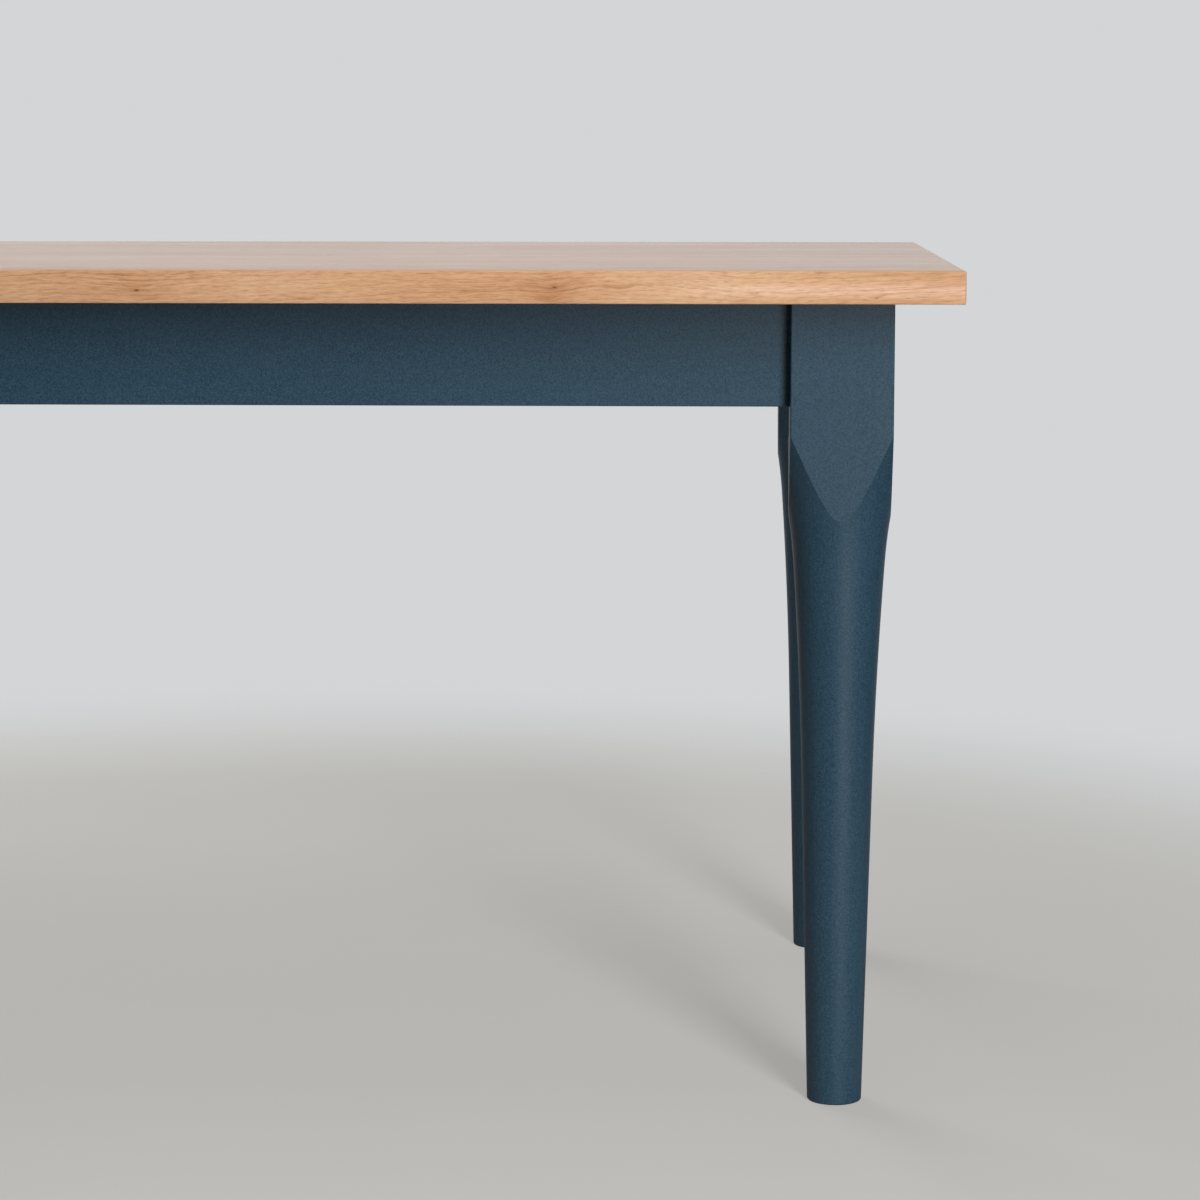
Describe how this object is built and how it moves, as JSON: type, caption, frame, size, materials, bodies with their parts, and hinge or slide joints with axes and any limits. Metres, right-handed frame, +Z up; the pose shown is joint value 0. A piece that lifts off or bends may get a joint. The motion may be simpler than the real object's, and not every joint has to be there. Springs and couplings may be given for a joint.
{
  "type": "dining table",
  "caption": "Rectangular dining table: edge-glued oak top with square edges on a painted apron frame, with bolt-on legs that turn from a square head to a round taper",
  "frame": {"origin": "on the floor under the middle of the top", "axes": "+X along the table, +Y from the front apron to the back one, +Z up"},
  "size_m": [1.6, 0.8, 0.75],
  "materials": {
    "oak_top": "oiled oak, satin",
    "base_paint": "satin dark blue-grey paint on wood",
    "plain_beech": "bare planed beech",
    "zinc_steel": "zinc-plated steel"
  },
  "bodies": {
    "root": {"top_board_1": "oak_top", "top_board_2": "oak_top", "top_board_3": "oak_top", "top_board_4": "oak_top", "top_board_5": "oak_top", "top_board_6": "oak_top", "top_board_7": "oak_top", "leg_front_left": "base_paint", "leg_front_right": "base_paint", "leg_back_left": "base_paint", "leg_back_right": "base_paint", "apron_front": "base_paint", "apron_back": "base_paint", "apron_left": "base_paint", "apron_right": "base_paint", "corner_block_front_left": "plain_beech", "corner_block_front_right": "plain_beech", "corner_block_back_left": "plain_beech", "corner_block_back_right": "plain_beech", "middle_rail": "plain_beech", "top_button_front_1": "plain_beech", "top_button_front_2": "plain_beech", "top_button_front_3": "plain_beech", "top_button_front_4": "plain_beech", "top_button_back_1": "plain_beech", "top_button_back_2": "plain_beech", "top_button_back_3": "plain_beech", "top_button_back_4": "plain_beech", "top_button_left_1": "plain_beech", "top_button_left_2": "plain_beech", "top_button_right_1": "plain_beech", "top_button_right_2": "plain_beech", "hanger_bolts": "zinc_steel", "bolt_washers": "zinc_steel", "bolt_nuts": "zinc_steel", "corner_block_screws": "zinc_steel", "top_button_screws": "zinc_steel"}
  },
  "joints": []
}
